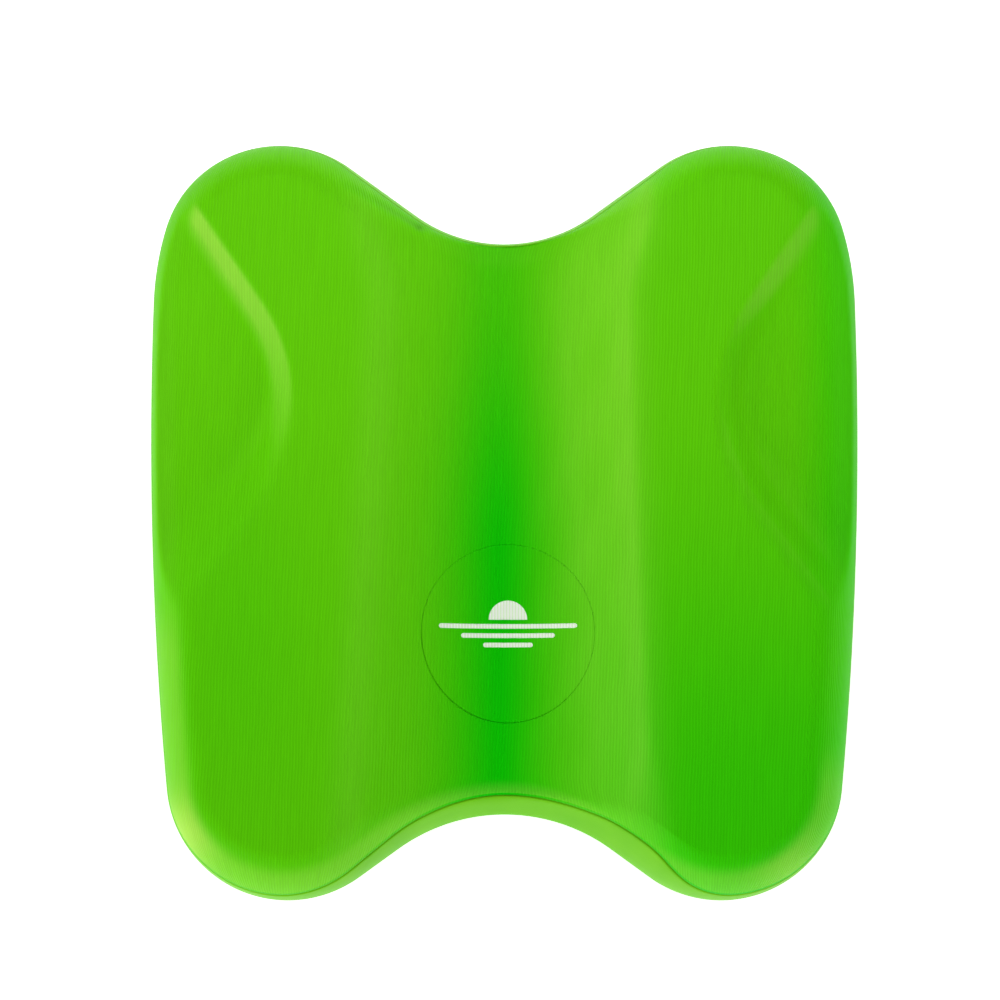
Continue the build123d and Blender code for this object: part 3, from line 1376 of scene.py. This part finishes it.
@dataclass(kw_only=True)
class PrintDisc(FloatPiece):
    """Round piece of ribbed sheet let into the top skin, with a rolled edge."""

    slot: str = "ribbed_skin"
    edge: InlayOutline
    lighting_paint: PaintedLight = field(default_factory=PaintedLight)
    thickness: float = 3.0
    edge_cells: float = 0.8
    steps: int = 60

    def shape(self, parts: MeshParts) -> None:
        """Add the top and the underside, and join them at the edge.

        Args:
            parts: The mesh so far.
        """
        lip = self.edge.lip_steps(0.0)
        upper = self._face(parts, lip, 0.0)
        parts.add_band(upper, self._face(parts, lip[:1], self.thickness))

    def _face(self, parts: MeshParts, lip: Array, depth: float) -> Array:
        """Add the disc's top or underside.

        Args:
            parts: The mesh so far.
            lip: Distances in from the edge of the rings at the lip.
            depth: How far the face lies under the top.

        Returns:
            The loop of points at its edge.
        """
        a, b = np.meshgrid(*[np.linspace(-1, 1, self.steps + 1)] * 2)
        round_grid = np.stack([a * np.sqrt(1 - b * b / 2), b * np.sqrt(1 - a * a / 2)], axis=-1)
        size = np.array([self.edge.half_width, self.edge.half_length]) - lip[0] - self.edge_cells
        plan = self.edge.centre + size * round_grid.reshape(-1, 2)
        ids = self._points(parts, plan, depth, 0.0).reshape(a.shape)
        parts.add_grid(ids)
        rings = [outer_loop(ids)]
        angle = self.edge.angles(plan[rings[0] - ids.min()])
        for step in lip:
            drop = self.edge.drop(angle, step) if depth == 0 else 0.0
            rings.append(self._points(parts, self.edge.at(angle, step), depth, drop))
        parts.add_tube(rings)
        return rings[-1]

    def _points(self, parts: MeshParts, plan: Array, depth: float, drop: Array | float) -> Array:
        """Add points on the pressed face, lowered by depth and drop.

        Args:
            parts: The mesh so far.
            plan: Places.
            depth: How far the face lies under the top.
            drop: How far the lip sinks there.

        Returns:
            Numbers of the new points.
        """
        # The disc gets the same painted shade and painted highlights as the skin.
        sheet = np.column_stack([plan, self.lighting_paint.deep_shade(plan)])
        return parts.add_points(
            plan, self.form.rise(plan, depth=depth) - drop, sheet, self.lighting_paint.drawn(self.form, plan)
        )


@dataclass(kw_only=True)
class PrintedMark(FloatPiece):
    """Generic print on the disc: a half sun over bars that get shorter."""

    slot: str = "white_print"
    foam: bool = False
    centre: Pair
    sun_radius: float = 7.0
    sun_lift: float = 5.0
    sun_steps: tuple[int, int] = (14, 41)
    bar_height: float = 1.7
    bar_pitch: float = 3.4
    first_drop: float = 2.4
    bar_lengths: tuple[float, ...] = (50.0, 34.0, 18.0)
    bar_rows: int = 5
    cap_steps: int = 7
    proud: float = 0.05
    buried: float = 0.25

    def shape(self, parts: MeshParts) -> None:
        """Add the half sun and the bars, one closed island of ink each.

        Args:
            parts: The mesh so far.
        """
        base = self.centre[1] + self.sun_lift
        self._island(parts, *self._sun(base))
        for row, length in enumerate(self.bar_lengths):
            self._island(parts, *self._bar(length, base - self.first_drop - self.bar_pitch * row))

    def _sun(self, base: float) -> tuple[Array, Array]:
        """Grid of places over a half disc that stands on base.

        Args:
            base: Where its foot is, along the float.

        Returns:
            Places across and along, as grids.
        """
        shares, angles = np.linspace(0, 1, self.sun_steps[0]), np.linspace(0, math.pi, self.sun_steps[1])
        share, angle = np.meshgrid(shares, angles, indexing="ij")
        return self.sun_radius * np.cos(angle), base + share * self.sun_radius * np.sin(angle)

    def _bar(self, length: float, middle: float) -> tuple[Array, Array]:
        """Grid of places over a bar with round ends, with a column for about each mm.

        Args:
            length: Its length.
            middle: Where its middle is, along the float.

        Returns:
            Places across and along, as grids.
        """
        cap = self.bar_height / 2
        body = np.linspace(-(length / 2 - cap), length / 2 - cap, int(length))
        left = body[0] - cap * np.cos(np.linspace(0, math.pi / 2, self.cap_steps))[:-1]
        across = np.concatenate([left, body, -left[::-1]])
        beyond = np.maximum(np.abs(across) - body[-1], 0.0)
        half = np.sqrt(np.maximum(cap**2 - beyond**2, 0.0))
        share, columns = np.meshgrid(np.linspace(-1, 1, self.bar_rows), np.arange(len(across)), indexing="ij")
        return across[columns], middle + share * half[columns]

    def _island(self, parts: MeshParts, x: Array, y: Array) -> None:
        """Add one closed island of ink over a grid of places.

        Args:
            parts: The mesh so far.
            x: Places across, from the mark's middle.
            y: Places along the float.
        """
        plan = np.column_stack([x.ravel() + self.centre[0], y.ravel()])
        sheet = np.column_stack([plan, np.zeros(len(plan))])
        loops = []
        for level in (self.proud, -self.buried):
            ids = parts.add_points(plan, self.form.rise(plan) + level, sheet).reshape(x.shape)
            parts.add_grid(ids)
            loops.append(outer_loop(ids))
        parts.add_band(*loops)


# ---------------------------------------------------------------- the studio


@dataclass(frozen=True)
class SoftBox:
    """A square soft light, placed by the way it is seen from the float."""

    name: str
    power: float
    size: float
    azimuth: float
    elevation: float
    distance: float = 1.6

    def place(self, target: Vector) -> None:
        """Hang the light and point it at the target.

        Args:
            target: Middle of the float.
        """
        lamp = bpy.data.lights.new(self.name, "AREA")
        lamp.shape, lamp.size, lamp.energy = "SQUARE", self.size, self.power
        turn, lift = math.radians(self.azimuth), math.radians(self.elevation)
        way = Vector((math.cos(turn) * math.cos(lift), math.sin(turn) * math.cos(lift), math.sin(lift)))
        holder = bpy.data.objects.new(self.name, lamp)
        holder.location = target + way * self.distance
        holder.rotation_euler = (-way).to_track_quat("-Z", "Y").to_euler()
        bpy.context.scene.collection.objects.link(holder)


@dataclass(frozen=True)
class Studio:
    """Plain white paper floor, soft light all round, and the camera above.

    Lamp sizes and distances and the floor's size are in metres, and lamp powers in watts.
    """

    floor_size: float = 8.0
    sky: float = 0.28
    backdrop: float = 1.0
    floor_gap: float = 0.2
    boxes: tuple[SoftBox, ...] = (
        SoftBox("far_high_box", 1.85, 0.28, 90.0, 65.0, 0.7),
        SoftBox("far_box", 0.85, 0.28, 90.0, 40.0, 0.7),
        SoftBox("left_low_box", 5.3, 0.65, 180.0, 15.0),
        SoftBox("near_left_low_box", 11.5, 0.65, 225.0, 15.0),
        SoftBox("near_right_low_box", 7.8, 0.65, 315.0, 15.0),
        SoftBox("right_low_box", 2.2, 0.65, 0.0, 15.0),
    )
    camera_distance: float = 1250.0
    camera_elevation: float = 84.0
    frame_width: float = 369.0
    aim: Pair = (-1.6, 7.25)
    sensor: float = 36.0

    def build(self, low: Vector, high: Vector) -> None:
        """Set up the floor, the lights and the camera.

        Args:
            low: Lowest corner of the float.
            high: Highest corner.
        """
        middle = (low + high) / 2
        self._floor(low.z - self.floor_gap * MM)
        self._sky()
        for box in self.boxes:
            box.place(middle)
        self._camera(Vector((self.aim[0] * MM, self.aim[1] * MM, middle.z)))
        bpy.context.scene.view_settings.view_transform = "Standard"

    def _floor(self, level: float) -> None:
        """Lay the paper.

        Args:
            level: Height to lay it at.
        """
        mesh = bpy.data.meshes.new("paper_floor")
        half = self.floor_size / 2
        corners = [(x * half, y * half, level) for x, y in ((-1, -1), (1, -1), (1, 1), (-1, 1))]
        mesh.from_pydata(corners, [], [(0, 1, 2, 3)])
        mesh.materials.append(StudioPaperFinish().make())
        floor = bpy.data.objects.new("paper_floor", mesh)
        bpy.context.scene.collection.objects.link(floor)
        floor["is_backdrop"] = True

    def _sky(self) -> None:
        """Light the float evenly from all round, before a white backdrop."""
        world = bpy.data.worlds.new("studio")
        world.use_nodes = True
        tree = world.node_tree
        back = tree.nodes["Background"]
        back.inputs["Color"].default_value = WHITE
        ray = add_node(tree, "LightPath")
        strength = add_node(
            tree, "MapRange",
            {"Value": ray.outputs["Is Camera Ray"], "To Min": self.sky, "To Max": self.backdrop},
        )
        tree.links.new(strength.outputs[0], back.inputs["Strength"])
        bpy.context.scene.world = world

    def _camera(self, aim: Vector) -> None:
        """Stand the camera off from the aim point.

        Args:
            aim: Point that it looks at.
        """
        data = bpy.data.cameras.new("camera")
        data.sensor_width = self.sensor
        data.lens = self.sensor * self.camera_distance / self.frame_width
        lift = math.radians(self.camera_elevation)
        back = Vector((0.0, -math.cos(lift), math.sin(lift)))
        camera = bpy.data.objects.new("camera", data)
        camera.location = aim + back * self.camera_distance * MM
        camera.rotation_mode = "QUATERNION"
        camera.rotation_quaternion = (-back).to_track_quat("-Z", "Y")
        bpy.context.scene.collection.objects.link(camera)
        bpy.context.scene.camera = camera


# ---------------------------------------------------------------- putting it together


def main() -> None:
    """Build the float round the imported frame, piece by piece, and set up the studio."""
    logging.basicConfig(level=logging.INFO, format="%(message)s")
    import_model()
    cad_low, cad_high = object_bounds()
    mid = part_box("upper_core")[0].z / MM
    form = PressedForm(top=cad_high.z / MM - mid)
    skin, core, ink = RibbedSkinFinish().make(), MouldedEdgeFinish().make(), ScreenInkFinish().make()

    disc_low, disc_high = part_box("print_disc")
    disc_y = (disc_low.y + disc_high.y) / 2 / MM
    edge = InlayOutline(
        centre=(float(form.valley.middle(disc_y)), disc_y),
        half_width=(disc_high.x - disc_low.x) / 2 / MM,
        half_length=(disc_high.y - disc_low.y) / 2 / MM,
    )
    SkinSheet(name="ribbed_top_skin", node="top_skin", form=form, hole=edge).place(mid, skin)
    SkinSheet(name="ribbed_bottom_skin", node="bottom_skin", form=form, side=Side.UNDER).place(mid, skin)
    CoreHalf(name="foam_upper_core", node="upper_core", form=form).place(mid, core)
    CoreHalf(name="foam_lower_core", node="lower_core", form=form, side=Side.UNDER).place(mid, core)
    PrintDisc(name="inlaid_print_disc", node="print_disc", form=form, edge=edge).place(mid, skin)
    PrintedMark(name="white_printed_mark", node="printed_mark", form=form, centre=edge.centre).place(mid, ink)

    Studio().build(cad_low, cad_high)


if __name__ == "__main__":
    main()
